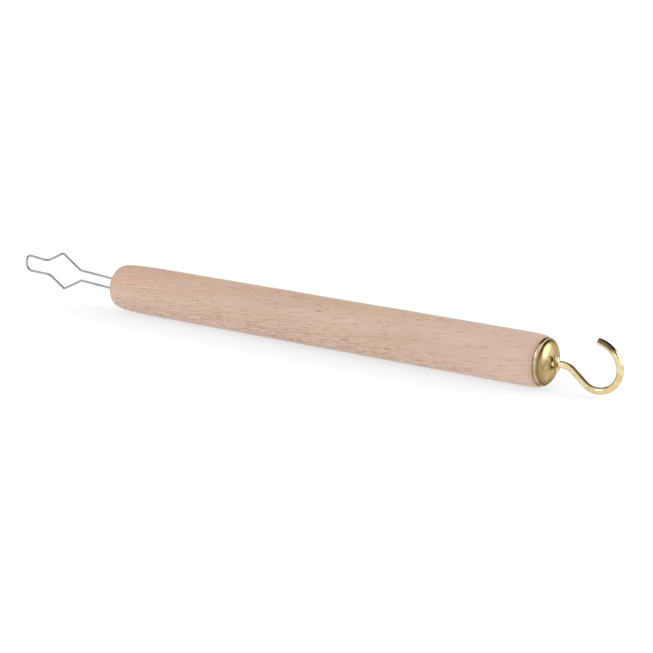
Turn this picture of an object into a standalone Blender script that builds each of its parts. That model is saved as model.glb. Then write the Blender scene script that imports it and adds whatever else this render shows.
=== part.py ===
"""A button hook and zipper pull: a turned wooden handle with a bent wire loop at one end and a cup hook
at the other. Metres, +Z up. +X runs along the handle, from loop to hook, and the handle lies on z = 0."""

import math

import bmesh
import bpy
from mathutils import Vector

# Clearance between solids that touch on the real object.
GAP = 0.0003

# Handle, a round dowel, eased down towards both ends. The nose has a rounded edge.
HANDLE_RADIUS = 0.00794
HANDLE_LENGTH = 0.1590
HANDLE_SIDES = 32
NOSE_EDGE_RADIUS = 0.00095
NOSE_DROP = 0.00082
NOSE_DEPTH = 0.0172
SHOULDER_DROP = 0.0006
SHOULDER_DEPTH = 0.008
EDGE_STEPS = 3
EASE_STEPS = 6
LEG_HOLE_RADIUS = 0.00075
LEG_HOLE_DEPTH = 0.0215
PILOT_HOLE_DEPTH = 0.0115
HOLE_SIDES = 16

# Button loop, one length of spring wire: two legs, a wide diamond for the button and a narrow tip.
LOOP_WIRE_RADIUS = 0.00035
LOOP_YAW = math.radians(2.0)
LOOP_PITCH = math.radians(2.6)
LEG_SPREAD = 0.0017
LEG_DEPTH = 0.0185
LEG_BEND_OUT = 0.0006
LOOP_TIP_REACH = 0.0451
# Each corner of the bent wire: distance out from the nose, distance from the middle line, bend radius.
UPPER_CORNERS = (
    (0.0194, 0.0018, 0.0020),
    (0.0276, 0.0063, 0.0014),
    (0.0349, 0.0024, 0.0034),
    (LOOP_TIP_REACH, 0.0029, 0.0016),
)
LOWER_CORNERS = (
    (0.0190, 0.0017, 0.0014),
    (0.0274, 0.0063, 0.0009),
    (0.0341, 0.0025, 0.0026),
    (LOOP_TIP_REACH, 0.0028, 0.0022),
)
LEG_CORNER_RADIUS = 0.0050
BEND_STEP = math.radians(16)

# Beads of glue left at the bottom of the two leg holes.
GLUE_LENGTH = 0.0022
GLUE_RADIUS = LEG_HOLE_RADIUS - GAP

# Cup, pressed from sheet brass: a rolled rim, a crease, and a flattened dome with steep sides.
CUP_RIM_RADIUS = 0.0070
CUP_RIM_HEIGHT = 0.00075
CUP_RIM_ROUND = 0.00018
CUP_CREASE_RADIUS = 0.0065
CUP_CREASE_HEIGHT = 0.0009
CUP_DOME_HEIGHT = 0.0018
CUP_WALL = 0.0005
CUP_SIDES = 32
DOME_STEPS = 8

# Cup hook, one brass wire: screw point, thread, shank, pinched ears, lead-in bend and round hook.
HOOK_WIRE_RADIUS = 0.0010
HOOK_SIDES = 16
HOOK_ROLL = math.radians(7)
HOOK_BEND_RADIUS = 0.00761
HOOK_CENTRE_OUT = 0.01652
HOOK_CENTRE_UP = 0.00156
HOOK_TIP_ANGLE = math.radians(82)
LEAD_IN_RADIUS = 0.0050
LEAD_IN_SLOPE = math.radians(43)
NECK_RADIUS = 0.00476
HOOK_BEND_STEP = math.radians(9)
TIP_ROUND = 0.00025
THREAD_LENGTH = 0.0100
THREAD_PITCH = 0.00125
THREAD_ROOT_RADIUS = 0.0007
THREAD_RINGS_PER_PITCH = 8
POINT_LENGTH = 0.0022
POINT_RADIUS = 0.0002
EAR_REACH = 0.0014
EAR_LENGTH = 0.0018
EAR_PINCH = 0.0003

# Where things stand. The frame's origin is under the middle of the whole tool.
AXIS_HEIGHT = HANDLE_RADIUS * math.cos(math.pi / HANDLE_SIDES)
LOOP_REACH = LOOP_TIP_REACH * math.cos(LOOP_PITCH) * math.cos(LOOP_YAW) + LOOP_WIRE_RADIUS
HOOK_REACH = HOOK_CENTRE_OUT + HOOK_BEND_RADIUS + HOOK_WIRE_RADIUS
TOTAL_LENGTH = LOOP_REACH + HANDLE_LENGTH + HOOK_REACH
NOSE_X = LOOP_REACH - TOTAL_LENGTH / 2
HANDLE_END_X = NOSE_X + HANDLE_LENGTH
LEG_HOLES = (("upper", 1), ("lower", -1))

FINISHES = {
    "beech": ((0.64, 0.44, 0.31), 0.5, 0.0),
    "spring_steel": ((0.42, 0.42, 0.43), 0.3, 1.0),
    "glue": ((0.78, 0.70, 0.48), 0.35, 0.0),
    "cup_brass": ((0.80, 0.62, 0.33), 0.25, 1.0),
    "hook_brass": ((0.83, 0.70, 0.40), 0.18, 1.0),
}


def clear_scene():
    for old in list(bpy.data.objects):
        bpy.data.objects.remove(old)


def finish_material(slot):
    colour, roughness, metallic = FINISHES[slot]
    material = bpy.data.materials.new(slot)
    material.use_nodes = True
    shader = material.node_tree.nodes["Principled BSDF"]
    shader.inputs["Base Color"].default_value = (*colour, 1.0)
    shader.inputs["Roughness"].default_value = roughness
    shader.inputs["Metallic"].default_value = metallic
    return material


def add_object(name, data, slot, place=(0, 0, 0)):
    data.materials.append(finish_material(slot))
    piece = bpy.data.objects.new(name, data)
    piece.location = place
    bpy.context.scene.collection.objects.link(piece)
    return piece


def mesh_from(bm, name):
    """Closes doubled points, turns the faces out and shades the round stretches smooth."""
    bmesh.ops.remove_doubles(bm, verts=bm.verts, dist=1e-7)
    bmesh.ops.recalc_face_normals(bm, faces=bm.faces)
    mesh = bpy.data.meshes.new(name)
    bm.to_mesh(mesh)
    bm.free()
    mesh.shade_smooth()
    mesh.set_sharp_from_angle(angle=math.radians(35))
    return mesh


def turned_mesh(name, outline, sides, closed):
    """Spins an outline of (x, radius) points about the X axis, with one flat side facing down."""
    bm = bmesh.new()
    half_side = math.pi / sides
    points = []
    for x, radius in outline:
        points.append(bm.verts.new((x, -radius * math.sin(half_side), -radius * math.cos(half_side))))
    if closed:
        points.append(points[0])
    edges = [bm.edges.new(pair) for pair in zip(points, points[1:])]
    bmesh.ops.spin(
        bm,
        geom=edges + list(dict.fromkeys(points)),
        cent=(0, 0, 0),
        axis=(1, 0, 0),
        angle=2 * math.pi,
        steps=sides,
        use_merge=True,
    )
    return mesh_from(bm, name)


def arc_points(centre, radius, start, end, step):
    """(x, z) points along an arc, from one angle to another, both ends included."""
    count = max(1, math.ceil(abs(end - start) / step))
    angles = [start + (end - start) * i / count for i in range(count + 1)]
    return [(centre[0] + radius * math.cos(a), centre[1] + radius * math.sin(a)) for a in angles]


def rounded_corner(before, corner, after, radius, step):
    """Points of the arc that rounds one corner of a bent wire."""
    back = (before - corner).normalized()
    onward = (after - corner).normalized()
    turn = math.pi - back.angle(onward)
    cut = radius * math.tan(turn / 2)
    middle = (back + onward).normalized()
    centre = corner + middle * (radius / math.cos(turn / 2))
    start = corner + back * cut - centre
    axis = back.cross(onward)
    count = max(2, math.ceil(turn / step))
    return [centre + rotated(start, axis, -turn * i / count) for i in range(count + 1)]


def rotated(vector, axis, angle):
    """The vector turned about an axis, by Rodrigues' formula."""
    axis = axis.normalized()
    along = axis * axis.dot(vector) * (1 - math.cos(angle))
    return vector * math.cos(angle) + axis.cross(vector) * math.sin(angle) + along


def cut_hole(piece, name, start_x, z, radius, depth):
    """Drills a blind hole along X: depth is positive towards +X and negative towards -X."""
    bm = bmesh.new()
    bmesh.ops.create_cone(
        bm,
        cap_ends=True,
        segments=HOLE_SIDES,
        radius1=radius,
        radius2=radius,
        depth=2 * abs(depth),
    )
    cutter = add_object(name, mesh_from(bm, name), "beech", (start_x, 0, z))
    cutter.rotation_euler = (0, math.pi / 2, 0)
    cutter.hide_render = True
    cutter.display_type = "WIRE"
    cut = piece.modifiers.new(name, "BOOLEAN")
    cut.operation = "DIFFERENCE"
    cut.solver = "EXACT"
    cut.object = cutter


def eased_end(edge_radius, drop, depth):
    """(depth, radius) points of one end of the handle, from its flat face up to the full radius."""
    face_radius = HANDLE_RADIUS - drop
    points = [(0, face_radius)]
    if edge_radius:
        centre = (edge_radius, face_radius - edge_radius)
        points = arc_points(centre, edge_radius, math.pi, math.pi / 2, math.pi / 2 / EDGE_STEPS)
    for i in range(1, EASE_STEPS + 1):
        angle = math.pi / 2 * i / EASE_STEPS
        x = edge_radius + (depth - edge_radius) * (1 - math.cos(angle))
        points.append((x, face_radius + drop * math.sin(angle)))
    return points


def make_handle():
    nose = eased_end(NOSE_EDGE_RADIUS, NOSE_DROP, NOSE_DEPTH)
    shoulder = eased_end(0, SHOULDER_DROP, SHOULDER_DEPTH)
    far_end = [(HANDLE_LENGTH - depth, radius) for depth, radius in reversed(shoulder)]
    outline = [(0, 0), *nose, *far_end, (HANDLE_LENGTH, 0)]
    mesh = turned_mesh("handle", outline, HANDLE_SIDES, closed=False)
    handle = add_object("handle", mesh, "beech", (NOSE_X, 0, AXIS_HEIGHT))
    for side, sign in LEG_HOLES:
        z = AXIS_HEIGHT + sign * LEG_SPREAD
        cut_hole(handle, f"leg_hole_{side}", NOSE_X, z, LEG_HOLE_RADIUS, LEG_HOLE_DEPTH)
    pilot_radius = HOOK_WIRE_RADIUS + GAP
    cut_hole(handle, "pilot_hole", HANDLE_END_X, AXIS_HEIGHT, pilot_radius, PILOT_HOLE_DEPTH)


def loop_side(corners, sign):
    """One half of the bent wire, from the buried end of its leg to the corner at the tip."""
    nose = Vector((NOSE_X, 0, AXIS_HEIGHT))
    out = Vector((-math.cos(LOOP_YAW) * math.cos(LOOP_PITCH), math.sin(LOOP_YAW), math.sin(LOOP_PITCH)))
    out.normalize()
    across = (Vector((0, 0, 1)) - out * out.z).normalized()
    side = [
        (nose + Vector((LEG_DEPTH, 0, sign * LEG_SPREAD)), 0),
        (nose + Vector((-LEG_BEND_OUT, 0, sign * LEG_SPREAD)), LEG_CORNER_RADIUS),
    ]
    for reach, offset, radius in corners:
        side.append((nose + out * reach + across * sign * offset, radius))
    return side


def make_button_loop():
    bends = loop_side(UPPER_CORNERS, 1) + loop_side(LOWER_CORNERS, -1)[::-1]
    places = [place for place, _ in bends]
    path = [places[0]]
    for i in range(1, len(bends) - 1):
        path += rounded_corner(places[i - 1], places[i], places[i + 1], bends[i][1], BEND_STEP)
    path.append(places[-1])
    wire = bpy.data.curves.new("button_loop", "CURVE")
    wire.dimensions = "3D"
    wire.bevel_depth = LOOP_WIRE_RADIUS
    wire.bevel_resolution = 2
    wire.use_fill_caps = True
    spline = wire.splines.new("POLY")
    spline.points.add(len(path) - 1)
    for point, place in zip(spline.points, path):
        point.co = (*place, 1)
    add_object("button_loop", wire, "spring_steel")


def make_leg_glue():
    for side, sign in LEG_HOLES:
        end = LEG_HOLE_DEPTH - GAP
        start = end - GLUE_LENGTH
        outline = [(start, 0), (start, GLUE_RADIUS), (end, GLUE_RADIUS), (end, 0)]
        mesh = turned_mesh(f"leg_glue_{side}", outline, HOLE_SIDES, closed=False)
        add_object(f"leg_glue_{side}", mesh, "glue", (NOSE_X, 0, AXIS_HEIGHT + sign * LEG_SPREAD))


def dome_outline(height, radius, end_radius):
    """Points on the flattened dome, from its foot at the crease up to the hole of end_radius in its top."""
    start = math.pi / 2
    end = math.asin(end_radius / radius)
    points = []
    for i in range(DOME_STEPS + 1):
        angle = start + (end - start) * i / DOME_STEPS
        points.append((CUP_CREASE_HEIGHT + height * math.cos(angle), radius * math.sin(angle)))
    return points


def make_cup(carrier):
    hole_radius = HOOK_WIRE_RADIUS + GAP
    inner_radius = CUP_CREASE_RADIUS - CUP_WALL
    rim = [
        (0, inner_radius),
        (0, CUP_RIM_RADIUS - CUP_RIM_ROUND),
        (CUP_RIM_ROUND, CUP_RIM_RADIUS),
        (CUP_RIM_HEIGHT - CUP_RIM_ROUND, CUP_RIM_RADIUS),
        (CUP_RIM_HEIGHT, CUP_RIM_RADIUS - CUP_RIM_ROUND),
    ]
    outer = dome_outline(CUP_DOME_HEIGHT, CUP_CREASE_RADIUS, hole_radius)
    inner = dome_outline(CUP_DOME_HEIGHT - CUP_WALL, inner_radius, hole_radius)[::-1]
    mesh = turned_mesh("cup", [*rim, *outer, *inner], CUP_SIDES, closed=True)
    cup = add_object("cup", mesh, "cup_brass")
    cup.parent = carrier


def hook_path():
    """(x, z) points of the wire beyond the cup, in the hook's own plane, from the neck to the tip."""
    bottom = HOOK_CENTRE_UP - HOOK_BEND_RADIUS
    lead_in_centre = (HOOK_CENTRE_OUT, bottom + LEAD_IN_RADIUS)
    slope_x = HOOK_CENTRE_OUT - LEAD_IN_RADIUS * math.sin(LEAD_IN_SLOPE)
    slope_z = bottom + LEAD_IN_RADIUS * (1 - math.cos(LEAD_IN_SLOPE))
    crossing_x = slope_x + slope_z / math.tan(LEAD_IN_SLOPE)
    neck_x = crossing_x - NECK_RADIUS * math.tan(LEAD_IN_SLOPE / 2)
    down = -math.pi / 2
    neck = arc_points((neck_x, -NECK_RADIUS), NECK_RADIUS, -down, -down - LEAD_IN_SLOPE, HOOK_BEND_STEP)
    lead_in = arc_points(lead_in_centre, LEAD_IN_RADIUS, down - LEAD_IN_SLOPE, down, HOOK_BEND_STEP)
    centre = (HOOK_CENTRE_OUT, HOOK_CENTRE_UP)
    bowl = arc_points(centre, HOOK_BEND_RADIUS, down, HOOK_TIP_ANGLE, HOOK_BEND_STEP)
    return neck + lead_in + bowl[1:]


def ear_swell(x, ear_x):
    """How far the pinch has gone at x: 1 in the middle of the ears and 0 clear of them."""
    off = abs(x - ear_x) / (EAR_LENGTH / 2)
    return 1 - off**4 if off < 1 else 0.0


def shank_radius(x, angle, ear_x):
    """Radius of the straight shank at x, in the direction of angle about +X from +Y."""
    if x >= 0:
        spread = EAR_REACH * math.sin(angle) ** 8 - EAR_PINCH * math.cos(angle) ** 2
        return HOOK_WIRE_RADIUS + ear_swell(x, ear_x) * spread
    phase = (x / THREAD_PITCH - angle / (2 * math.pi)) % 1
    ridge = 1 - abs(2 * phase - 1)
    radius = THREAD_ROOT_RADIUS + (HOOK_WIRE_RADIUS - THREAD_ROOT_RADIUS) * ridge
    from_point = (x + THREAD_LENGTH) / POINT_LENGTH
    return radius if from_point >= 1 else POINT_RADIUS + (radius - POINT_RADIUS) * from_point


def shank_stations(neck_x, ear_x):
    """Places along the straight shank: closely spaced through the thread and the ears."""
    count = round(THREAD_LENGTH / THREAD_PITCH * THREAD_RINGS_PER_PITCH)
    thread = [-THREAD_LENGTH + THREAD_LENGTH * i / count for i in range(count)]
    ears = [ear_x + EAR_LENGTH / 2 * share for share in (-1, -0.9, -0.6, 0, 0.6, 0.9, 1)]
    return thread + [0.0] + [x for x in ears if x < neck_x]


def make_cup_hook(carrier):
    bends = hook_path()
    neck_x = bends[0][0]
    ear_x = GAP + CUP_CREASE_HEIGHT + CUP_DOME_HEIGHT + GAP + EAR_LENGTH / 2
    shank = shank_stations(neck_x, ear_x)
    path = [(x, 0.0) for x in shank] + bends
    end = Vector(path[-1])
    onward = (end - Vector(path[-2])).normalized()
    path[-1] = tuple(end - onward * TIP_ROUND)
    path.append(tuple(end))
    bm = bmesh.new()
    ring = bmesh.ops.create_circle(bm, segments=HOOK_SIDES, radius=THREAD_ROOT_RADIUS)["verts"]
    for i, (x, z) in enumerate(path):
        if i:
            edges = [e for e in bm.edges if e.verts[0] in ring and e.verts[1] in ring]
            grown = bmesh.ops.extrude_edge_only(bm, edges=edges)["geom"]
            following = [v for v in grown if isinstance(v, bmesh.types.BMVert)]
            partner = {}
            for vert in following:
                for edge in vert.link_edges:
                    if edge.other_vert(vert) in ring:
                        partner[edge.other_vert(vert)] = vert
            ring = [partner[vert] for vert in ring]
        before = Vector(path[max(i - 1, 0)])
        after = Vector(path[min(i + 1, len(path) - 1)])
        ahead = (after - before).normalized()
        for j, vert in enumerate(ring):
            angle = 2 * math.pi * j / HOOK_SIDES
            radius = shank_radius(x, angle, ear_x) if i < len(shank) else HOOK_WIRE_RADIUS
            if i == len(path) - 1:
                radius -= TIP_ROUND
            up = radius * math.sin(angle)
            vert.co = (x - ahead.y * up, radius * math.cos(angle), z + ahead.x * up)
    bmesh.ops.holes_fill(bm, edges=bm.edges, sides=HOOK_SIDES)
    hook = add_object("cup_hook", mesh_from(bm, "cup_hook"), "hook_brass", (-GAP, 0, 0))
    hook.parent = carrier
    hook.rotation_euler = (HOOK_ROLL, 0, 0)


def make_screw_carrier():
    """An empty on the screw's axis, at the back of the cup: the cup and the hook travel with it."""
    carrier = bpy.data.objects.new("screw_carrier", None)
    carrier.location = (HANDLE_END_X + GAP, 0, AXIS_HEIGHT)
    bpy.context.scene.collection.objects.link(carrier)
    return carrier


def main():
    clear_scene()
    make_handle()
    make_button_loop()
    make_leg_glue()
    carrier = make_screw_carrier()
    make_cup(carrier)
    make_cup_hook(carrier)
    bpy.context.view_layer.update()


main()
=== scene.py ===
import math

import bmesh
import bpy
from mathutils import Matrix, Vector


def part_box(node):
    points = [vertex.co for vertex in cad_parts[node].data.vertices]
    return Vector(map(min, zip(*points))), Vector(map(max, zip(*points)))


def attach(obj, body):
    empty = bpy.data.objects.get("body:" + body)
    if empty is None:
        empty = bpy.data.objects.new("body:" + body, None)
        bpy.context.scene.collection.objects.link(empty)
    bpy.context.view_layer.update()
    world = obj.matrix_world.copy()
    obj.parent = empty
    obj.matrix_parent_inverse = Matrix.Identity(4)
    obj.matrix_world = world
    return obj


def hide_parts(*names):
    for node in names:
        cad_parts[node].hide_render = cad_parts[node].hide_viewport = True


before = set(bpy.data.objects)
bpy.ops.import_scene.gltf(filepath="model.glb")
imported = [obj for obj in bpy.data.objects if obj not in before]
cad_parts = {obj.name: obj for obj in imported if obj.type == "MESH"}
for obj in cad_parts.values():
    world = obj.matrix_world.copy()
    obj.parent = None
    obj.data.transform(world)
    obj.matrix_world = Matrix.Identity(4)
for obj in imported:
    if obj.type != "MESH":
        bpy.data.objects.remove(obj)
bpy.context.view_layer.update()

# Button hook and zipper pull: its detailed pieces, their finishes, the light and the camera.
# Everything is in metres. The handle lies along X, from the wire loop to the brass cup hook.
handleLow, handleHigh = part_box("handle")
noseX = handleLow.x
handleEndX = handleHigh.x
handleLength = handleEndX - noseX
axisZ = (handleLow.z + handleHigh.z) / 2
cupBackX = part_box("cup")[0].x
up = Vector((0, 0, 1))
millimetre = 0.001
inMillimetres = (1 / millimetre,) * 3  # turns metres into millimetres along all three axes
mergeDistance = 2e-7  # points nearer than this become one
sharpAngle = math.radians(32)  # edges steeper than this stay crisp
noiseSpread = (0.35, 0.65)  # between these a noise goes from none to full


# One output of a shader node, with arithmetic that adds Math nodes.
class Signal:
    def __init__(self, nodes, socket):
        self.nodes = nodes
        self.socket = socket

    def maths(self, operation, first, second):
        return self.nodes.add("ShaderNodeMath", {"operation": operation}, {0: first, 1: second})

    def __add__(self, other):
        return self.maths("ADD", self, other)

    def __sub__(self, other):
        return self.maths("SUBTRACT", self, other)

    def __rsub__(self, other):
        return self.maths("SUBTRACT", other, self)

    def __mul__(self, other):
        return self.maths("MULTIPLY", self, other)

    def __truediv__(self, other):
        return self.maths("DIVIDE", self, other)

    def __rtruediv__(self, other):
        return self.maths("DIVIDE", other, self)

    __radd__ = __add__
    __rmul__ = __mul__


# A node tree with one method that adds any node: type, settings, then values or links.
class NodeSet:
    def __init__(self, tree):
        self.tree = tree

    def add(self, kind, settings=None, inputs=None, output=0):
        node = self.tree.nodes.new(kind)
        for name, value in (settings or {}).items():
            setattr(node, name, value)
        for name, value in (inputs or {}).items():
            if isinstance(value, Signal):
                self.tree.links.new(value.socket, node.inputs[name])
            else:
                node.inputs[name].default_value = value
        return Signal(self, node.outputs[output]) if len(node.outputs) else node

    # Object coordinates in millimetres, measured from centre and then turned.
    def place(self, centre, turn=(0, 0, 0)):
        coordinates = self.add("ShaderNodeTexCoord", {}, {}, "Object")
        moved = self.shift(coordinates, tuple(-value for value in centre))
        mapping = {"Vector": moved, "Rotation": turn, "Scale": inMillimetres}
        return self.add("ShaderNodeMapping", {"vector_type": "POINT"}, mapping)

    # place along the straightened wire, in millimetres, and how strongly the wire is bent there
    def wirePlace(self):
        grain = self.add("ShaderNodeAttribute", {"attribute_name": "wireGrain"}, {}, "Vector")
        strain = self.add("ShaderNodeAttribute", {"attribute_name": "bend"}, {}, "Fac")
        return self.stretch(grain, inMillimetres), strain

    def shift(self, vector, offset):
        return self.add("ShaderNodeVectorMath", {"operation": "ADD"}, {0: vector, 1: offset})

    def stretch(self, vector, factors):
        return self.add("ShaderNodeVectorMath", {"operation": "MULTIPLY"}, {0: vector, 1: factors})

    def split(self, vector, part):
        return self.add("ShaderNodeSeparateXYZ", {}, {"Vector": vector}, part)

    # distance from the middle, leaving out the directions whose factor is 0
    def reach(self, vector, factors=(1, 1, 1)):
        kept = self.stretch(vector, factors)
        return self.add("ShaderNodeVectorMath", {"operation": "LENGTH"}, {0: kept}, "Value")

    # the value without its sign
    def distance(self, value):
        return self.add("ShaderNodeMath", {"operation": "ABSOLUTE"}, {0: value})

    def noise(self, vector, factors, detail=2.0, roughness=0.5):
        values = {"Vector": self.stretch(vector, factors), "Scale": 1.0, "Detail": detail}
        values["Roughness"] = roughness
        return self.add("ShaderNodeTexNoise", {"noise_dimensions": "3D"}, values, "Fac")

    # 0 below low and 1 above high, smoothly between. With low above high it falls instead.
    def rise(self, value, low, high):
        settings = {"interpolation_type": "SMOOTHSTEP"}
        if low < high:
            limits = {"Value": value, "From Min": low, "From Max": high}
        else:
            limits = {"Value": value, "From Min": high, "From Max": low}
            limits["To Min"] = 1.0
            limits["To Max"] = 0.0
        return self.add("ShaderNodeMapRange", settings, limits)

    # 1 at the middle, falling to 0 at the given width on both sides.
    def hill(self, value, middle, width):
        return self.rise(self.distance(value - middle), width, 0.0)

    def blend(self, share, first, second):
        return self.add("ShaderNodeMix", {"data_type": "RGBA"}, {0: share, 6: first, 7: second}, 2)

    # Lays tones over a first one. Each coat is (where it shows, how strongly, its tone).
    def coats(self, tones, first, coats):
        colour = tones[first]
        for where, strength, name in coats:
            colour = self.blend(where * strength, colour, tones[name])
        return colour

    # Short dashes that lie along X, one to a cell, in a share of the cells. Cell and size are in
    # millimetres and in cells, and core is the share of a dash that is solid.
    def dashes(self, vector, cell, size, share, core=0.55):
        settings = {"feature": "F1", "voronoi_dimensions": "3D"}
        factors = tuple(1 / value for value in cell)
        values = {"Vector": self.stretch(vector, factors), "Scale": 1.0, "Randomness": 1.0}
        distance = self.add("ShaderNodeTexVoronoi", settings, values, "Distance")
        colour = self.add("ShaderNodeTexVoronoi", settings, values, "Color")
        chance = self.split(colour, "X")
        kept = self.add("ShaderNodeMath", {"operation": "LESS_THAN"}, {0: chance, 1: share})
        return self.rise(distance, size, size * core) * kept

    def bump(self, height, depth):
        return self.add("ShaderNodeBump", {}, {"Height": height, "Distance": depth}, "Normal")


# sRGB steps of 0 to 255 as the linear colour that a shader takes
def tone(red, green, blue):
    linear = []
    for step in (red, green, blue):
        share = step / 255
        linear.append(share / 12.92 if share <= 0.04045 else ((share + 0.055) / 1.055) ** 2.4)
    return (*linear, 1.0)


def startFinish(name):
    material = bpy.data.materials.new(name)
    material.use_nodes = True
    material.node_tree.nodes.clear()
    return material, NodeSet(material.node_tree)


def closeFinish(nodes, values):
    shader = nodes.add("ShaderNodeBsdfPrincipled", {}, values, "BSDF")
    nodes.add("ShaderNodeOutputMaterial", {}, {"Surface": shader})


# (x, radius) points along an arc in the outline's plane, both ends included
def arcPoints(centre, radius, start, end, steps):
    points = []
    for i in range(steps + 1):
        angle = start + (end - start) * i / steps
        points.append((centre[0] + radius * math.cos(angle), centre[1] + radius * math.sin(angle)))
    return points


# A round piece: the outline of (x, radius) points turned about a line along X
def turnOutline(bm, outline, centre, steps, closed=False):
    points = [bm.verts.new(centre + Vector((x, 0, -radius))) for x, radius in outline]
    if closed:
        points.append(points[0])
    edges = [bm.edges.new(pair) for pair in zip(points, points[1:])]
    bmesh.ops.spin(
        bm,
        geom=edges + list(dict.fromkeys(points)),
        cent=centre,
        axis=(1, 0, 0),
        angle=2 * math.pi,
        steps=steps,
        use_merge=True,
    )


def makePiece(name, bm, sharpFrom=sharpAngle):
    bmesh.ops.remove_doubles(bm, verts=bm.verts, dist=mergeDistance)
    bmesh.ops.recalc_face_normals(bm, faces=bm.faces)
    mesh = bpy.data.meshes.new(name)
    bm.to_mesh(mesh)
    bm.free()
    mesh.shade_smooth()
    mesh.set_sharp_from_angle(angle=sharpFrom)
    piece = bpy.data.objects.new(name, mesh)
    bpy.context.scene.collection.objects.link(piece)
    return piece


def fitPiece(piece, body, node, material):
    piece.data.materials.clear()
    piece.data.materials.append(material)
    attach(piece, body)
    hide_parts(node)


# Carries a ring of wire forward one step at a time, so that the bends can be marked on it.
# wireGrain holds each point's place on the straightened wire, for the drawn lines.
def startWire(bm, place, heading, radius, sides):
    turn = heading.to_track_quat("Z", "Y").to_matrix().to_4x4()
    grain = bm.verts.layers.float_vector.new("wireGrain")
    bend = bm.verts.layers.float.new("bend")
    matrix = Matrix.Translation(place) @ turn
    ring = bmesh.ops.create_circle(bm, segments=sides, radius=radius, matrix=matrix)["verts"]
    for i, vert in enumerate(ring):
        angle = 2 * math.pi * i / sides
        vert[grain] = Vector((0, radius * math.cos(angle), radius * math.sin(angle)))
        vert[bend] = 0.0
    edges = list(dict.fromkeys(edge for vert in ring for edge in vert.link_edges))
    return {"bm": bm, "grain": grain, "bend": bend, "front": ring + edges}


def stepWire(wire, centre, axis, angle, step, travel, strain):
    grown = bmesh.ops.spin(
        wire["bm"],
        geom=wire["front"],
        cent=centre,
        axis=axis,
        dvec=step,
        angle=angle,
        steps=1,
    )["geom_last"]
    wire["front"] = grown
    for vert in grown:
        if isinstance(vert, bmesh.types.BMVert):
            place = vert[wire["grain"]]
            vert[wire["grain"]] = Vector((place.x + travel, place.y, place.z))
            vert[wire["bend"]] = strain


def runStraight(wire, offset, spacing):
    steps = max(1, round(offset.length / spacing))
    for i in range(steps):
        stepWire(wire, (0, 0, 0), (0, 0, 1), 0, offset / steps, offset.length / steps, 0.0)


def runBend(wire, centre, axis, angle, radius, turnStep, fewest=3):
    steps = max(fewest, math.ceil(angle / turnStep))
    for i in range(steps):
        strain = math.sin(math.pi * (i + 1) / steps)
        travel = radius * angle / steps
        stepWire(wire, centre, axis, angle / steps, (0, 0, 0), travel, strain)


# Draws the wire along straight runs between places, with a rounded bend at each one.
def drawWire(bm, stops, radius, sides, spacing, turnStep):
    places = [place for place, _ in stops]
    wire = startWire(bm, places[0], (places[1] - places[0]).normalized(), radius, sides)
    here = places[0]
    for i in range(1, len(places) - 1):
        back = (places[i - 1] - places[i]).normalized()
        onward = (places[i + 1] - places[i]).normalized()
        turn = math.pi - back.angle(onward)
        bendRadius = stops[i][1]
        cut = bendRadius * math.tan(turn / 2)
        middle = (back + onward).normalized()
        centre = places[i] + middle * (bendRadius / math.cos(turn / 2))
        bendStart = places[i] + back * cut
        runStraight(wire, bendStart - here, spacing)
        runBend(wire, centre, onward.cross(back), turn, bendRadius, turnStep)
        here = places[i] + onward * cut
    runStraight(wire, places[-1] - here, spacing)


# The beech handle: a sanded dowel with eased ends, two leg holes and the screw's pilot hole
handle = {
    "radius": 0.00790,
    "turnSteps": 144,
    "noseEdge": 0.00095,
    "noseDrop": 0.00082,
    "noseDepth": 0.0172,
    "shoulderEdge": 0.00012,
    "shoulderDrop": 0.0006,
    "shoulderDepth": 0.0080,
    "edgeSteps": 6,
    "easeSteps": 16,
    "bodySteps": 48,
    "sanding": 0.000012,
    "sandedFrom": 0.8,  # share of the radius, so that the flat ends stay flat
    # each wave that sanding leaves: radians along the handle, lobes round it, where it begins
    "sandWaves": ((21, 2, 0), (47, -3, 1)),
    "legSpread": 0.0017,
    "legHoleRadius": 0.00075,
    "legHoleDepth": 0.0215,
    "pilotRadius": 0.0013,
    "pilotDepth": 0.0115,
    "holeChamfer": 0.00012,
    "holeSides": 32,
    "drillClear": 0.001,  # how far a drill stands out of its hole
    "drillPoint": 0.55,  # height of its point, in radii
}


# (depth, radius) points of one end of the handle, from its flat face up to the full radius
def easedEnd(side):
    edge, drop, depth = handle[side + "Edge"], handle[side + "Drop"], handle[side + "Depth"]
    steps = handle["easeSteps"]
    face = handle["radius"] - drop
    points = arcPoints((edge, face - edge), edge, math.pi, math.pi / 2, handle["edgeSteps"])
    for i in range(1, steps + 1):
        angle = math.pi / 2 * i / steps
        points.append((edge + (depth - edge) * (1 - math.cos(angle)), face + drop * math.sin(angle)))
    return points


# A drill that leaves a slightly broken edge and a pointed bottom
def makeDrill(name, mouth, inward, radius, depth):
    chamfer, clear = handle["holeChamfer"], handle["drillClear"]
    outline = [(-clear, 0), (-clear, radius + chamfer + clear), (chamfer, radius), (depth, radius)]
    outline.append((depth + radius * handle["drillPoint"], 0))
    bm = bmesh.new()
    placed = [(x * inward, distance) for x, distance in outline]
    turnOutline(bm, placed, mouth, handle["holeSides"])
    return makePiece(name, bm)


# Cuts the drills out of the piece and leaves the finished mesh on it.
def drillPiece(piece, drills):
    for drill in drills:
        cut = piece.modifiers.new(drill.name, "BOOLEAN")
        cut.operation = "DIFFERENCE"
        cut.solver = "EXACT"
        cut.object = drill
    graph = bpy.context.evaluated_depsgraph_get()
    drilled = bpy.data.meshes.new_from_object(piece.evaluated_get(graph))
    piece.modifiers.clear()
    piece.data = drilled
    drilled.shade_smooth()
    drilled.set_sharp_from_angle(angle=sharpAngle)
    for drill in drills:
        bpy.data.objects.remove(drill)


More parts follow.
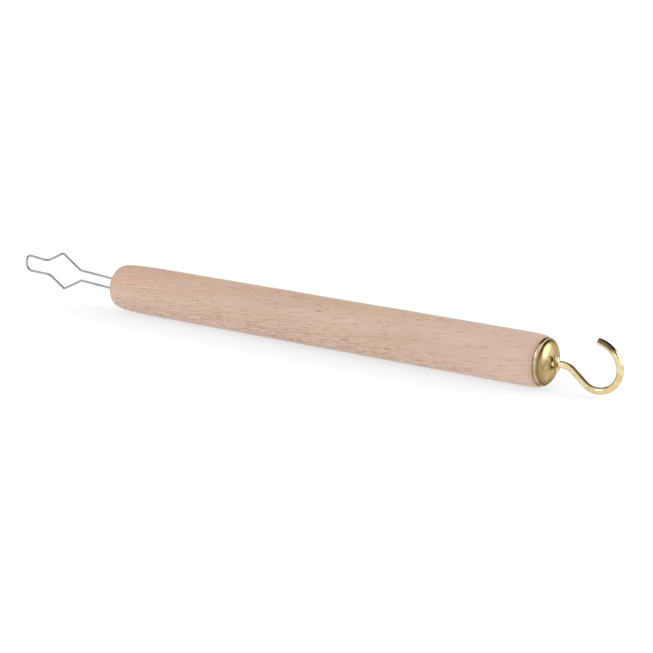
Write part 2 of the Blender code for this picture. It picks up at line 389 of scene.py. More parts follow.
def makeHandle():
    nose = easedEnd("nose")
    farEnd = [(handleLength - depth, radius) for depth, radius in reversed(easedEnd("shoulder"))]
    start, end = nose[-1][0], farEnd[0][0]
    count = handle["bodySteps"]
    body = [(start + (end - start) * i / count, handle["radius"]) for i in range(1, count)]
    centre = Vector((noseX, 0, axisZ))
    bm = bmesh.new()
    turnOutline(bm, [(0, 0), *nose, *body, *farEnd, (handleLength, 0)], centre, handle["turnSteps"])
    # hand sanding leaves the round a few hundredths of a millimetre under size here and there
    for vert in bm.verts:
        off = Vector((0, vert.co.y, vert.co.z - axisZ))
        if off.length < handle["radius"] * handle["sandedFrom"]:
            continue
        angle = math.atan2(off.z, off.y)
        along = (vert.co.x - noseX) / handleLength
        depth = 0
        for waves, lobes, begin in handle["sandWaves"]:
            depth += 1 + math.sin(waves * along + lobes * angle + begin)
        vert.co -= off.normalized() * handle["sanding"] * depth
    piece = makePiece("beech_handle", bm)
    drills = []
    for side, sign in (("upper", 1), ("lower", -1)):
        mouth = Vector((noseX, 0, axisZ + sign * handle["legSpread"]))
        name = f"drill_{side}"
        drills.append(makeDrill(name, mouth, 1, handle["legHoleRadius"], handle["legHoleDepth"]))
    pilotMouth = Vector((handleEndX, 0, axisZ))
    drills.append(makeDrill("drill_pilot", pilotMouth, -1, handle["pilotRadius"], handle["pilotDepth"]))
    drillPiece(piece, drills)
    return piece


beech = {
    "pale": tone(219, 190, 169),
    "middle": tone(209, 178, 157),
    "deep": tone(196, 163, 141),
    "salmon": tone(214, 166, 142),
    "fleck": tone(163, 124, 98),
    "darkFleck": tone(140, 100, 76),
    "light": tone(228, 204, 184),
    "grainLine": tone(182, 146, 121),
    "rosy": tone(220, 192, 180),
    "endGrain": tone(182, 146, 121),
    "grainTilt": math.radians(5),
    "pith": (0, 22, -46),
    "ringWidth": 2.6,
    "ringWander": 1.6,
    "swayBy": 2.2,
    # each noise: its waves to a millimetre along X, Y and Z, its detail and its roughness
    "swaying": ((0.035, 0.05, 0.05), 1.0),
    "rings": ((0.02, 0.35, 0.35), 3.0),
    "broad": ((0.022, 0.16, 0.16), 2.0),
    "streaks": ((0.06, 1.5, 1.5), 3.0, 0.6),
    "lines": ((0.13, 3.1, 3.1), 2.0, 0.6),
    "pores": ((0.32, 7.5, 7.5), 2.0, 0.55),
    "blush": ((0.055, 1.25, 1.25), 1.0),
    "patches": ((0.05, 0.22, 0.22), 1.0),
    "ticks": ((0.26, 2.1, 2.1), 1.0),
    "endPores": ((0.2, 9, 9), 1.0),
    "handled": ((0.06, 0.11, 0.11), 2.0),
    "sanding": ((6.0, 0.8, 0.8), 2.0),
    # each kind of dash: its cell in millimetres, and its size in cells
    "longDash": ((5.8, 0.46, 0.46), 0.44),
    "shortDash": ((3.8, 0.40, 0.40), 0.44),
    "bigFleck": ((10.0, 1.3, 1.3), 0.22),
    "beside": (0.5, 0.0, -0.28),  # from a dark dash to the light one beside it
    # where salmon, flecks and the rosy tone show, in millimetres from the handle's middle: Along
    # is a stretch's middle and width, Above and Below are heights where it sets in and is full
    "salmonAlong": (-60, 40),
    "salmonAbove": (-1.0, 5.0),
    "salmonBelow": (-3.0, -7.0),
    "flecksAlong": (-12, 96),
    "flecksBelow": (7.5, -4.0),
    "rosyFrom": (30, 76),  # along the handle, where it sets in and is full
    # millimetres from the cut end, and from the axis, where the end's darkening sets in and is full
    "rimBand": (2.2, 0.4),
    "cutBand": (1.1, 0.05),
    "cutRound": (7.9, 6.6),
    "roughness": 0.47,
    "gloss": 0.4,
    "coatWeight": 0.18,
    "coatRoughness": 0.34,
    "bumpDepth": 0.00003,
}


# the wood's grain: its place with slow waves, so that no line runs dead straight
def beechGrain(nodes, place):
    swayY = nodes.noise(place, *beech["swaying"]) - 0.5
    swayZ = nodes.noise(nodes.shift(place, (37, 5, 11)), *beech["swaying"]) - 0.5
    across = {"Y": swayY * beech["swayBy"], "Z": swayZ * beech["swayBy"]}
    sway = nodes.add("ShaderNodeCombineXYZ", {}, across)
    return nodes.add("ShaderNodeVectorMath", {"operation": "ADD"}, {0: place, 1: sway})


# growth rings about a pith that lay outside the dowel: the dark late wood of each
def beechLateWood(nodes, grain):
    fromPith = nodes.reach(nodes.shift(grain, tuple(-value for value in beech["pith"])), (0, 1, 1))
    turns = (fromPith + nodes.noise(grain, *beech["rings"]) * beech["ringWander"]) / beech["ringWidth"]
    phase = nodes.add("ShaderNodeMath", {"operation": "FRACT"}, {0: turns})
    return nodes.rise(phase, 0.35, 0.93) * nodes.rise(phase, 1.0, 0.94)


def makeBeech():
    material, nodes = startFinish("satin_beech")
    centre = ((noseX + handleEndX) / 2, 0, axisZ)
    piecePlace = nodes.place(centre)
    along = nodes.split(piecePlace, "X")
    height = nodes.split(piecePlace, "Z")
    front = nodes.split(piecePlace, "Y")
    grain = beechGrain(nodes, nodes.place(centre, (0, beech["grainTilt"], 0)))
    # the shifts by whole numbers only keep one noise from lining up with another
    broad = nodes.noise(grain, *beech["broad"])
    streaks = nodes.noise(grain, *beech["streaks"])
    lines = nodes.noise(nodes.shift(grain, (4, 17, 9)), *beech["lines"])
    pores = nodes.noise(grain, *beech["pores"])
    fine = nodes.rise(pores, 0.50, 0.76)

    # salmon streaks, strongest on the upper side near the loop and along the lower edge
    blush = nodes.noise(nodes.shift(grain, (90, 20, 60)), *beech["blush"])
    upperEnd = nodes.hill(along, *beech["salmonAlong"]) * nodes.rise(height, *beech["salmonAbove"])
    lowerEdge = nodes.rise(height, *beech["salmonBelow"])
    salmon = nodes.rise(blush, 0.51, 0.64) * (0.12 + upperEnd * 0.85 + lowerEdge * 0.65)

    # ray flecks: short dashes along the grain, thickest below and towards the front
    lower = nodes.rise(height - front * 0.6, *beech["flecksBelow"])
    spread = nodes.hill(along, *beech["flecksAlong"])
    patchy = nodes.rise(nodes.noise(grain, *beech["patches"]), 0.30, 0.58)
    density = (0.12 + lower * 0.95) * (0.25 + spread * 0.75) * (0.55 + patchy * 0.45)
    ticks = nodes.noise(nodes.shift(grain, (61, 7, 19)), *beech["ticks"])
    tickStrength = 0.12 + lower * 0.38
    dash = nodes.dashes(grain, *beech["longDash"], density)
    lightDash = nodes.dashes(nodes.shift(grain, beech["beside"]), *beech["longDash"], density)
    shortDash = nodes.dashes(nodes.shift(grain, (11, 3, 8)), *beech["shortDash"], density)
    bigDensity = 0.06 + lower * 0.34
    bigFleck = nodes.dashes(nodes.shift(grain, (5, 9, 2)), *beech["bigFleck"], bigDensity)

    # the cut ends drink more finish and darken
    toEnd = handleLength / 2 / millimetre - nodes.distance(along)
    fromAxis = nodes.reach(piecePlace, (0, 1, 1))
    rim = nodes.rise(toEnd, *beech["rimBand"])
    cutFace = nodes.rise(toEnd, *beech["cutBand"]) * nodes.rise(fromAxis, *beech["cutRound"])
    endPores = nodes.rise(nodes.noise(grain, *beech["endPores"]), 0.5, 0.7)

    coats = (
        (nodes.rise(broad, *noiseSpread), 0.7, "pale"),
        (beechLateWood(nodes, grain), 0.22, "deep"),
        (nodes.rise(streaks, 0.50, 0.74), 0.34, "deep"),
        (nodes.rise(streaks, 0.46, 0.26), 0.28, "light"),
        (nodes.rise(lines, 0.54, 0.72), 0.42, "grainLine"),
        (nodes.rise(lines, 0.44, 0.28), 0.22, "light"),
        (fine, 0.26, "deep"),
        (salmon, 1.0, "salmon"),
        (nodes.rise(ticks, 0.54, 0.68), tickStrength, "fleck"),
        (nodes.rise(ticks, 0.44, 0.31), tickStrength, "light"),
        (lightDash, 0.62, "light"),
        (shortDash, 0.50, "fleck"),
        (dash, 0.66, "fleck"),
        (bigFleck, 0.62, "darkFleck"),
        (nodes.rise(along, *beech["rosyFrom"]), 0.32, "rosy"),  # pinker towards the cup
        (rim * 0.22 + cutFace * (0.45 + endPores * 0.35), 1.0, "endGrain"),
    )

    # handling leaves soft, slightly shinier patches
    handled = nodes.noise(piecePlace, *beech["handled"])
    sanding = nodes.noise(piecePlace, *beech["sanding"])
    roughness = beech["roughness"] + (handled - 0.5) * 0.14 + (pores - 0.5) * 0.12 + dash * 0.05
    relief = 0.6 - fine * 0.35 - dash * 0.35 - bigFleck * 0.5 + sanding * 0.18 - cutFace * endPores * 0.8
    closeFinish(
        nodes,
        {
            "Base Color": nodes.coats(beech, "middle", coats),
            "Roughness": roughness,
            "Coat Weight": beech["coatWeight"],
            "Coat Roughness": beech["coatRoughness"],
            "Specular IOR Level": beech["gloss"],
            "Normal": nodes.bump(relief, beech["bumpDepth"]),
        },
    )
    return material


fitPiece(makeHandle(), "handle", "handle", makeBeech())
print("beech handle turned and drilled")

# The button loop: one spring wire bent in a plane that leaves the nose at a slight angle.
# Each bend is (out from the nose, off the middle line, bend radius).
buttonLoop = {
    "wireRadius": 0.00035,
    "sides": 24,
    "spacing": 0.0006,
    "turnStep": math.radians(5),
    "yaw": math.radians(2.0),
    "pitch": math.radians(2.6),
    "legDepth": 0.0185,
    "legBendOut": 0.0006,
    "legBendRadius": 0.0050,
    "upperBends": (
        (0.0194, 0.0018, 0.0020),
        (0.0276, 0.0063, 0.0014),
        (0.0349, 0.0023, 0.0070),
        (0.0451, 0.0026, 0.0019),
    ),
    "lowerBends": (
        (0.0190, 0.0017, 0.0014),
        (0.0272, 0.0061, 0.0013),
        (0.0341, 0.0024, 0.0048),
        (0.0451, 0.0028, 0.0022),
    ),
}


def loopSide(bends, sign):
    nose = Vector((noseX, 0, axisZ))
    yaw, pitch = buttonLoop["yaw"], buttonLoop["pitch"]
    out = Vector((-math.cos(yaw) * math.cos(pitch), math.sin(yaw), math.sin(pitch))).normalized()
    across = (up - out * out.z).normalized()
    spread = sign * handle["legSpread"]
    stops = [
        (nose + Vector((buttonLoop["legDepth"], 0, spread)), 0),
        (nose + Vector((-buttonLoop["legBendOut"], 0, spread)), buttonLoop["legBendRadius"]),
    ]
    for reach, offset, radius in bends:
        stops.append((nose + out * reach + across * sign * offset, radius))
    return stops


def makeButtonLoop():
    stops = loopSide(buttonLoop["upperBends"], 1) + loopSide(buttonLoop["lowerBends"], -1)[::-1]
    bm = bmesh.new()
    drawWire(
        bm,
        stops,
        buttonLoop["wireRadius"],
        buttonLoop["sides"],
        buttonLoop["spacing"],
        buttonLoop["turnStep"],
    )
    bmesh.ops.holes_fill(bm, edges=bm.edges, sides=0)
    return makePiece("spring_wire_loop", bm)


springSteel = {
    "bright": tone(184, 183, 182),
    "dull": tone(144, 143, 144),
    "bendTone": tone(92, 88, 86),
    "roughness": 0.34,
    "drawn": ((0.4, 9, 9), 3.0, 0.6),
    "blotches": ((0.5, 1.2, 1.2), 2.0),
    "lineDepth": 0.000006,
}


def makeSpringSteel():
    material, nodes = startFinish("drawn_spring_steel")
    straight, strain = nodes.wirePlace()
    drawn = nodes.noise(straight, *springSteel["drawn"])
    blotch = nodes.noise(straight, *springSteel["blotches"])
    coats = (
        (nodes.rise(drawn, *noiseSpread), 1.0, "bright"),
        (nodes.rise(blotch, 0.50, 0.75), 0.5, "dull"),
        (strain * nodes.rise(blotch, 0.30, 0.60), 0.55, "bendTone"),
    )
    roughness = springSteel["roughness"] + (drawn - 0.5) * 0.22 + (blotch - 0.5) * 0.12 + strain * 0.06
    closeFinish(
        nodes,
        {
            "Base Color": nodes.coats(springSteel, "dull", coats),
            "Metallic": 1.0,
            "Roughness": roughness,
            "Normal": nodes.bump(drawn, springSteel["lineDepth"]),
        },
    )
    return material


fitPiece(makeButtonLoop(), "handle", "button_loop", makeSpringSteel())
print("wire loop bent")

# A bead of set glue behind each leg, at the bottom of its hole
glueBead = {
    "start": 0.0190,
    "end": 0.0212,
    "radius": 0.00045,
    "round": 0.00016,
    "roundSteps": 5,
    "neckDepth": 0.00005,
    "neckSteps": 8,
    "turnSteps": 32,
    "amber": tone(214, 178, 112),
    "milky": tone(232, 214, 168),
    "cloud": ((1.5, 2.5, 2.5), 3.0),
    "bubbles": ((0.3, 0.3, 0.3), 0.30),
    "bubbleShare": 0.4,
    "roughness": 0.30,
    "coatWeight": 0.3,
    "bumpDepth": 0.00002,
}


def makeGlueBead(name, sign):
    corner, steps, neckSteps = glueBead["round"], glueBead["roundSteps"], glueBead["neckSteps"]
    start, end, radius = glueBead["start"], glueBead["end"], glueBead["radius"]
    outline = [(start, 0)]
    outline += arcPoints((start + corner, radius - corner), corner, math.pi, math.pi / 2, steps)
    # the bead necks in a little as it dries
    for i in range(1, neckSteps):
        share = i / neckSteps
        x = start + corner + (end - start - 2 * corner) * share
        outline.append((x, radius - glueBead["neckDepth"] * math.sin(math.pi * share)))
    outline += arcPoints((end - corner, radius - corner), corner, math.pi / 2, 0, steps)
    outline.append((end, 0))
    bm = bmesh.new()
    centre = Vector((noseX, 0, axisZ + sign * handle["legSpread"]))
    turnOutline(bm, outline, centre, glueBead["turnSteps"])
    return makePiece(name, bm)


def makeGlue():
    material, nodes = startFinish("set_wood_glue")
    place = nodes.place((noseX, 0, axisZ))
    cloud = nodes.noise(place, *glueBead["cloud"])
    bubbles = nodes.dashes(place, *glueBead["bubbles"], glueBead["bubbleShare"])
    coats = ((nodes.rise(cloud, *noiseSpread), 1.0, "milky"), (bubbles, 0.5, "milky"))
    closeFinish(
        nodes,
        {
            "Base Color": nodes.coats(glueBead, "amber", coats),
            "Roughness": glueBead["roughness"] + cloud * 0.20,
            "Coat Weight": glueBead["coatWeight"],
            "Normal": nodes.bump(cloud * 0.7 + bubbles * 0.3, glueBead["bumpDepth"]),
        },
    )
    return material


glue = makeGlue()
fitPiece(makeGlueBead("glue_bead_upper", 1), "handle", "leg_glue_upper", glue)
fitPiece(makeGlueBead("glue_bead_lower", -1), "handle", "leg_glue_lower", glue)
print("glue beads set")

# The pressed brass cup: a short upright rim, a crease and a shallow dome with a hole
cup = {
    "rimRadius": 0.0070,
    "rimHeight": 0.00075,
    "rimRound": 0.00018,
    "seating": 0.00024,
    "creaseRadius": 0.0065,
    "creaseHeight": 0.0009,
    "creaseRound": 0.00022,
    "domeHeight": 0.0018,
    "domeStart": math.radians(86),
    "wall": 0.0005,
    "holeRadius": 0.0013,
    "holeRound": 0.00014,
    "holeEase": 0.0002,
    "lipSlope": 0.3,
    "roundSteps": 5,
    "creaseSteps": 6,
    "domeSteps": 26,
    "turnSteps": 160,
    "sharpAngle": math.radians(40),
}


# points on the flattened dome, whose slope at its foot is steep, from startAngle to the hole
def domePoints(height, radius, startAngle, endRadius, steps):
    end = math.asin(endRadius / radius)
    points = []
    for i in range(steps + 1):
        angle = startAngle + (end - startAngle) * i / steps
        points.append((cup["creaseHeight"] + height * math.cos(angle), radius * math.sin(angle)))
    return points


def makeCup():
    crease, dome, wall = cup["creaseRadius"], cup["domeHeight"], cup["wall"]
    corner, rim, top = cup["rimRound"], cup["rimRadius"], cup["rimHeight"]
    hollow, hole, lip = cup["creaseRound"], cup["holeRadius"], cup["holeRound"]
    steps, domeSteps = cup["roundSteps"], cup["domeSteps"]
    innerRadius = crease - wall
    back = -cup["seating"]
    outline = [(back, innerRadius), (back, (innerRadius + rim) / 2)]
    outline += arcPoints((back + corner, rim - corner), corner, math.pi, math.pi / 2, steps)
    outline += arcPoints((top - corner, rim - corner), corner, math.pi / 2, 0, steps)
    # a small round hollow leads from the rim's top into the foot of the dome
    hollowCentre = (top + hollow, crease + hollow)
    outline += arcPoints(hollowCentre, hollow, math.pi, math.pi * 3 / 2, cup["creaseSteps"])
    outline += domePoints(dome, crease, cup["domeStart"], hole + cup["holeEase"], domeSteps)
    # the edge of the hole is eased, and the inner wall follows the dome back to the rim
    lipX = cup["creaseHeight"] + dome * math.sqrt(1 - (hole / crease) ** 2)
    slope = lip * cup["lipSlope"]
    outline += [(lipX - slope, hole + slope), (lipX - lip, hole)]
    outline += domePoints(dome - wall, innerRadius, math.pi / 2, hole, domeSteps)[::-1]
    bm = bmesh.new()
    turnOutline(bm, outline, Vector((cupBackX, 0, axisZ)), cup["turnSteps"], closed=True)
    return makePiece("brass_cup", bm, cup["sharpAngle"])


cupBrass = {
    "bright": tone(210, 192, 156),
    "warm": tone(190, 165, 120),
    # dark brass: tarnish for the scuffs, and painted shade in the crease, by the hole and on the dome's
    # foot
    "tarnishAndShade": tone(128, 105, 64),
    "roughness": 0.25,
    "roughnessSpread": 0.12,
    "edgeTint": (0.42, 0.36, 0.26, 1.0),
    "ringsPerMillimetre": 9.0,
    "rings": ((1, 1, 1), 3.0, 0.6),
    "scuffs": ((2.2, 2.6, 0.7), 3.0, 0.6),
    "cloud": ((0.35, 0.35, 0.35), 2.0),
    # where the painted shade lies, in millimetres from the axis (Round) and from the wood (Height)
    "creaseRound": (6.55, 0.42),
    "creaseHeight": (0.3, 0.75),
    "footRound": (4.3, 6.3),
    "footHeight": (0.8, 1.1),
    "holeRound": (2.6, 1.3),
    "lineDepth": 0.0000035,
    "coatWeight": 0.12,
    "coatRoughness": 0.12,
}


def makeCupBrass():
    material, nodes = startFinish("lacquered_cup_brass")
    place = nodes.place((cupBackX, 0, axisZ))
    along = nodes.split(place, "X")
    fromAxis = nodes.reach(place, (0, 1, 1))
    # the press and the polishing wheel leave rings round the axis
    count = cupBrass["ringsPerMillimetre"]
    ringPlace = nodes.add("ShaderNodeCombineXYZ", {}, {"X": fromAxis * count, "Y": along * count})
    lines = nodes.noise(ringPlace, *cupBrass["rings"])
    scuffs = nodes.noise(place, *cupBrass["scuffs"])
    cloud = nodes.noise(place, *cupBrass["cloud"])
    inCrease = nodes.hill(fromAxis, *cupBrass["creaseRound"])
    inCrease = inCrease * nodes.rise(along, *cupBrass["creaseHeight"])
    byFoot = nodes.rise(fromAxis, *cupBrass["footRound"]) * nodes.rise(along, *cupBrass["footHeight"])
    byHole = nodes.rise(fromAxis, *cupBrass["holeRound"])
    coats = (
        (nodes.rise(cloud, *noiseSpread), 1.0, "bright"),
        (nodes.rise(scuffs, 0.56, 0.75), 0.25, "tarnishAndShade"),
        # painted shade in the crease, round the hole and over the dome's foot
        (inCrease * 0.55 + byHole * 0.35 + byFoot * 0.55, 1.0, "tarnishAndShade"),
    )
    roughness = cupBrass["roughness"] + (lines - 0.5) * cupBrass["roughnessSpread"]
    roughness = roughness + nodes.rise(scuffs, 0.5, 0.8) * 0.10 + inCrease * 0.12
    closeFinish(
        nodes,
        {
            "Base Color": nodes.coats(cupBrass, "warm", coats),
            "Metallic": 1.0,
            "Roughness": roughness,
            "Specular Tint": cupBrass["edgeTint"],
            "Coat Weight": cupBrass["coatWeight"],
            "Coat Roughness": cupBrass["coatRoughness"],
            "Normal": nodes.bump(lines * 0.6 + scuffs * 0.4, cupBrass["lineDepth"]),
        },
    )
    return material


fitPiece(makeCup(), "cup", "cup", makeCupBrass())
print("brass cup pressed")

# The cup hook: a gimlet-pointed screw, pinched ears, an S bend and the open bowl.
# It is measured out from the handle's end, in the hook's own plane, which leans by roll.
cupHook = {
    "wireRadius": 0.0010,
    "sides": 40,
    "spacing": 0.00022,
    "turnStep": math.radians(3),
    "roll": math.radians(7),
    "bowlRadius": 0.00761,
    "bowlOut": 0.01652,
    "bowlUp": 0.00156,
    "tipAngle": math.radians(82),
    "leadInRadius": 0.0050,
    "leadInSlope": math.radians(43),
    "neckRadius": 0.00476,
    "tipRound": 0.00022,
    "tipSegments": 4,
    "sharpAngle": math.radians(40),
    "threadLength": 0.0100,
    "threadPitch": 0.00125,
    "threadRoot": 0.0007,
    "threadSteps": 40,
    # shares of the pitch where a flank leaves the root and where it reaches the crest
    "flankFoot": 0.18,
    "flankTop": 0.44,
    "pointLength": 0.0024,
    "pointRadius": 0.0002,
    "shankStart": -0.0004,
    "shankTaper": 0.72,
    "shankSpacing": 0.00008,
    "earPlace": 0.00402,
    "earLength": 0.0020,
    "earReach": 0.0014,
    "earPinch": 0.0003,
    "earSharpness": 8,
    "earSquareness": 4,
}


# One turn's outline swept up a helix, cut square at both ends and drawn down to a point
def addThread(bm):
    pitch, root, crest = cupHook["threadPitch"], cupHook["threadRoot"], cupHook["wireRadius"]
    length, foot, top = cupHook["threadLength"], cupHook["flankFoot"], cupHook["flankTop"]
    turns = math.ceil(length / pitch) + 2  # one spare turn at each end, which is cut away
    outline = [(0, root), (foot, root), (top, crest), (1 - top, crest), (1 - foot, root), (1, root)]
    start = -length - pitch
    points = [bm.verts.new((start + share * pitch, 0, radius)) for share, radius in outline]
    edges = [bm.edges.new(pair) for pair in zip(points, points[1:])]
    steps = cupHook["threadSteps"]
    bmesh.ops.spin(
        bm,
        geom=edges + points,
        cent=(0, 0, 0),
        axis=(1, 0, 0),
        dvec=(pitch / steps, 0, 0),
        angle=2 * math.pi * turns,
        steps=steps * turns,
    )
    bmesh.ops.remove_doubles(bm, verts=bm.verts, dist=mergeDistance)
    for place, side in (((-length, 0, 0), -1), ((0, 0, 0), 1)):
        geometry = list(bm.verts) + list(bm.edges) + list(bm.faces)
        bmesh.ops.bisect_plane(
            bm,
            geom=geometry,
            dist=mergeDistance / 2,
            plane_co=place,
            plane_no=(side, 0, 0),
            clear_outer=True,
        )
    bmesh.ops.holes_fill(bm, edges=bm.edges, sides=0)
    for vert in bm.verts:
        share = (vert.co.x + length) / cupHook["pointLength"]
        if share < 1:
            distance = math.hypot(vert.co.y, vert.co.z)
            narrowed = cupHook["pointRadius"] + (distance - cupHook["pointRadius"]) * share
            vert.co.y *= narrowed / distance
            vert.co.z *= narrowed / distance


# Pinches the straight shank so that an ear stands out above and below it and holds the cup.
def pinchEars(bm):
    middle, half = cupHook["earPlace"], cupHook["earLength"] / 2
    for vert in bm.verts:
        off = abs(vert.co.x - middle) / half
        if off >= 1:
            continue
        distance = math.hypot(vert.co.y, vert.co.z)
        angle = math.atan2(vert.co.z, vert.co.y)
        swell = 1 - off ** cupHook["earSquareness"]
        outward = cupHook["earReach"] * math.sin(angle) ** cupHook["earSharpness"]
        inward = cupHook["earPinch"] * math.cos(angle) ** 2
        grown = 1 + swell * (outward - inward) / distance
        vert.co.y *= grown
        vert.co.z *= grown


def makeCupHook():
    slope, leadIn = cupHook["leadInSlope"], cupHook["leadInRadius"]
    neck, bowl = cupHook["neckRadius"], cupHook["bowlRadius"]
    out, height = cupHook["bowlOut"], cupHook["bowlUp"]
    bottom = height - bowl
    slopeX = out - leadIn * math.sin(slope)
    slopeZ = bottom + leadIn * (1 - math.cos(slope))
    neckX = slopeX + slopeZ / math.tan(slope) - neck * math.tan(slope / 2)
    slopeLength = (slopeX - neckX - neck * math.sin(slope)) / math.cos(slope)
    bm = bmesh.new()
    addThread(bm)
    start, step, forward = cupHook["shankStart"], cupHook["turnStep"], Vector((1, 0, 0))
    wire = startWire(bm, forward * start, forward, cupHook["wireRadius"], cupHook["sides"])
    startRing = [vert for vert in wire["front"] if isinstance(vert, bmesh.types.BMVert)]
    runStraight(wire, forward * (neckX - start), cupHook["shankSpacing"])
    runBend(wire, (neckX, 0, -neck), (0, 1, 0), slope, neck, step)
    heading = Vector((math.cos(slope), 0, -math.sin(slope)))
    runStraight(wire, heading * slopeLength, cupHook["spacing"])
    runBend(wire, (out, 0, bottom + leadIn), (0, -1, 0), slope, leadIn, step)
    runBend(wire, (out, 0, height), (0, -1, 0), math.pi / 2 + cupHook["tipAngle"], bowl, step)
    taper = cupHook["shankTaper"]
    bmesh.ops.scale(
        bm, vec=(1, taper, taper), space=Matrix.Translation((-start, 0, 0)), verts=startRing
    )
    pinchEars(bm)
    tipEdges = [item for item in wire["front"] if isinstance(item, bmesh.types.BMEdge)]
    bmesh.ops.holes_fill(bm, edges=bm.edges, sides=0)
    bmesh.ops.bevel(
        bm,
        geom=tipEdges,
        offset=cupHook["tipRound"],
        offset_type="OFFSET",
        segments=cupHook["tipSegments"],
        profile=0.5,
        affect="EDGES",
        material=-1,
    )
    matrix = Matrix.Translation((handleEndX, 0, axisZ)) @ Matrix.Rotation(cupHook["roll"], 4, "X")
    bmesh.ops.transform(bm, matrix=matrix, verts=bm.verts)
    return makePiece("brass_cup_hook", bm, cupHook["sharpAngle"])


hookBrass = {
    "pale": tone(238, 222, 180),
    "yellow": tone(222, 200, 146),
    "olive": tone(128, 108, 62),
    # painted dark reflection for the outer side near the tip
    "paintedDarkReflection": tone(84, 64, 38),
    "edgeTint": (0.55, 0.50, 0.38, 1.0),
    "roughness": 0.13,
    "drawn": ((0.35, 5, 5), 3.0, 0.6),
    "cloud": ((0.5, 0.5, 0.5), 2.0),
    "specks": ((0.7, 0.7, 0.7), 0.16),
    "speckShare": 0.4,
    # where the painted dark reflection fades in: millimetres of wire, and millimetres from the bowl's
    # middle
    "reflectionTravel": (35.4, 37.6),
    "reflectionReach": (7.1, 7.75),
    "lineDepth": 0.000004,
}


def makeHookBrass():
    material, nodes = startFinish("polished_hook_brass")
    straight, strain = nodes.wirePlace()
    place = nodes.place((handleEndX, 0, axisZ))
    drawn = nodes.noise(straight, *hookBrass["drawn"])
    cloud = nodes.noise(place, *hookBrass["cloud"])
    specks = nodes.dashes(place, *hookBrass["specks"], hookBrass["speckShare"])
    # a painted dark brown reflection lies along the outer side of the wire near the cut tip
    bowlMiddle = nodes.place((handleEndX + cupHook["bowlOut"], 0, axisZ + cupHook["bowlUp"]))
    outward = nodes.reach(bowlMiddle, (1, 0, 1)) + (drawn - 0.5) * 0.5
    nearTip = nodes.rise(nodes.split(straight, "X"), *hookBrass["reflectionTravel"])
    paintedTipReflection = nearTip * nodes.rise(outward, *hookBrass["reflectionReach"])
    coats = (
        (nodes.rise(cloud, *noiseSpread), 1.0, "pale"),
        (nodes.rise(drawn, 0.56, 0.76), 0.22, "olive"),
        (specks, 0.35, "olive"),
        # the painted dark reflection near the tip
        (paintedTipReflection, 0.85, "paintedDarkReflection"),
    )
    roughness = hookBrass["roughness"] + (drawn - 0.5) * 0.14 + (cloud - 0.5) * 0.08
    roughness = roughness + specks * 0.2 + strain * 0.02
    closeFinish(
        nodes,
        {
            "Base Color": nodes.coats(hookBrass, "yellow", coats),
            "Metallic": 1.0,
            "Roughness": roughness,
            "Specular Tint": hookBrass["edgeTint"],
            "Normal": nodes.bump(drawn, hookBrass["lineDepth"]),
        },
    )
    return material


fitPiece(makeCupHook(), "cup_hook", "cup_hook", makeHookBrass())
print("cup hook threaded, pinched and bent")

# A plain white table, pale surroundings and soft studio lights
studio = {
    "tableRadius": 9.0,
    "tableSides": 96,
    "tableColour": (0.52, 0.425, 0.39, 1.0),
    "tableRoughness": 0.9,
    "nearGlow": (0.51, 0.605, 0.64, 1.0),
    "farGlow": (0.82, 0.86, 0.88, 1.0),
    "farFrom": 900,  # millimetres from the middle, where the far glow sets in and is full
    "farFull": 3000,
    "horizonTop": 0.14,  # height, as a sine, where the open sky ends
    "upperFrom": 0.20,  # and where the upper sky is full
    "openSky": (1.0, 1.0, 1.0, 1.0),
    "upperSky": (0.90, 0.90, 0.90, 1.0),
    "unlitWall": (0.07, 0.07, 0.065, 1.0),
    # each dark patch: where its middle lies, and the cosines of its soft edge
    "darkPatches": (
        ((0.50, 0.35, 0.79), 0.74, 0.86),
        ((-0.48, 0.66, 0.58), 0.78, 0.90),
        ((0.73, -0.33, 0.60), 0.94, 0.98),
    ),
    "skyStrength": 1.0,
    "aim": (0.02, 0, 0.01),
    # each lamp: its place, its width, its power, and whether it shows in reflections
    "softboxes": (
        ("softbox_right", (1.30, 0.76, 0.44), 1.15, 10.5, True),
        ("softbox_left", (-1.3, -1.3, 1.3), 1.0, 4.5, True),
        ("fill_above", (1.48, 1.04, 2.34), 4.0, 42.0, False),
        ("fill_behind", (-1.44, 1.98, 1.74), 3.0, 22.0, False),
    ),
}


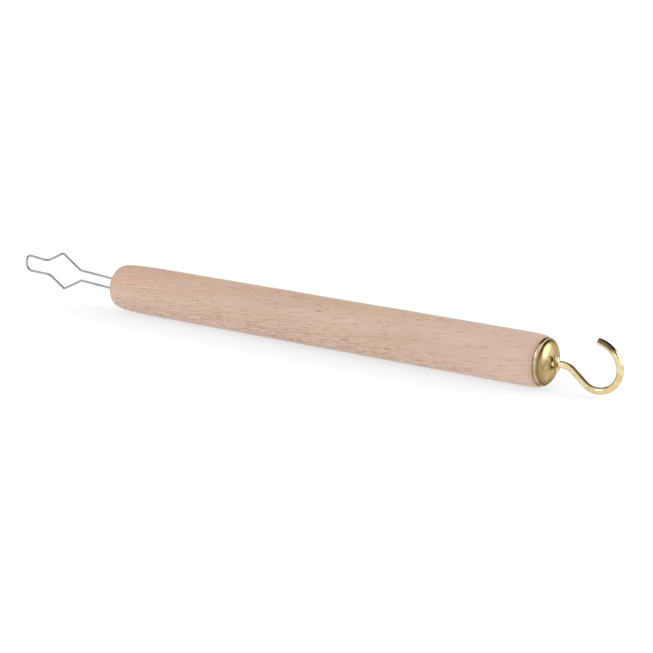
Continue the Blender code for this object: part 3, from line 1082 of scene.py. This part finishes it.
def makeStudio():
    bm = bmesh.new()
    sides, radius = studio["tableSides"], studio["tableRadius"]
    bmesh.ops.create_circle(bm, cap_ends=True, segments=sides, radius=radius)
    table = makePiece("table_top", bm)
    material, nodes = startFinish("white_table")
    # the lamps fade with distance, so the table glows more far out and stays white to its edge
    far = nodes.rise(nodes.reach(nodes.place((0, 0, 0))), studio["farFrom"], studio["farFull"])
    closeFinish(
        nodes,
        {
            "Base Color": studio["tableColour"],
            "Roughness": studio["tableRoughness"],
            "Specular IOR Level": 0.0,
            "Emission Color": nodes.blend(far, studio["nearGlow"], studio["farGlow"]),
            "Emission Strength": 1.0,
        },
    )
    table.data.materials.append(material)

    world = bpy.data.worlds.new("pale_room")
    world.use_nodes = True
    world.node_tree.nodes.clear()
    sky = NodeSet(world.node_tree)
    direction = sky.add("ShaderNodeTexCoord", {}, {}, "Generated")
    dark = 0.0
    for middle, soft, full in studio["darkPatches"]:
        pair = {0: direction, 1: tuple(Vector(middle).normalized())}
        match = sky.add("ShaderNodeVectorMath", {"operation": "DOT_PRODUCT"}, pair, "Value")
        dark = sky.rise(match, soft, full) + dark
    above = sky.rise(sky.split(direction, "Z"), studio["horizonTop"], studio["upperFrom"])
    colour = sky.blend(above, studio["openSky"], studio["upperSky"])
    colour = sky.blend(dark * above, colour, studio["unlitWall"])
    lit = sky.add("ShaderNodeBackground", {}, {"Color": colour, "Strength": studio["skyStrength"]})
    sky.add("ShaderNodeOutputWorld", {}, {"Surface": lit})
    bpy.context.scene.world = world

    for name, place, size, power, shines in studio["softboxes"]:
        light = bpy.data.lights.new(name, "AREA")
        light.shape = "DISK"
        light.size = size
        light.energy = power
        lamp = bpy.data.objects.new(name, light)
        lamp.location = place
        lamp.visible_glossy = shines
        toward = Vector(studio["aim"]) - Vector(place)
        lamp.rotation_euler = toward.to_track_quat("-Z", "Y").to_euler()
        bpy.context.scene.collection.objects.link(lamp)


# The camera stands off the handle's cup end, at offset from it.
cameraSet = {
    "lens": 105.0,
    "sensorWidth": 36,
    "offset": (0.25144, -0.46338, 0.14859),
    "lookDown": math.radians(14.79),
    "turn": math.radians(35.253),
    "nearest": 0.01,
    "farthest": 60,
}


def makeCamera():
    lens = bpy.data.cameras.new("camera")
    lens.lens = cameraSet["lens"]
    lens.sensor_width = cameraSet["sensorWidth"]
    lens.clip_start = cameraSet["nearest"]
    lens.clip_end = cameraSet["farthest"]
    camera = bpy.data.objects.new("camera", lens)
    camera.location = Vector((handleEndX, 0, axisZ)) + Vector(cameraSet["offset"])
    camera.rotation_euler = (math.pi / 2 - cameraSet["lookDown"], 0, cameraSet["turn"])
    bpy.context.scene.collection.objects.link(camera)
    bpy.context.scene.camera = camera
    bpy.context.scene.view_settings.view_transform = "Standard"
    bpy.context.scene.view_settings.look = "None"


makeStudio()
makeCamera()
print("studio and camera ready")
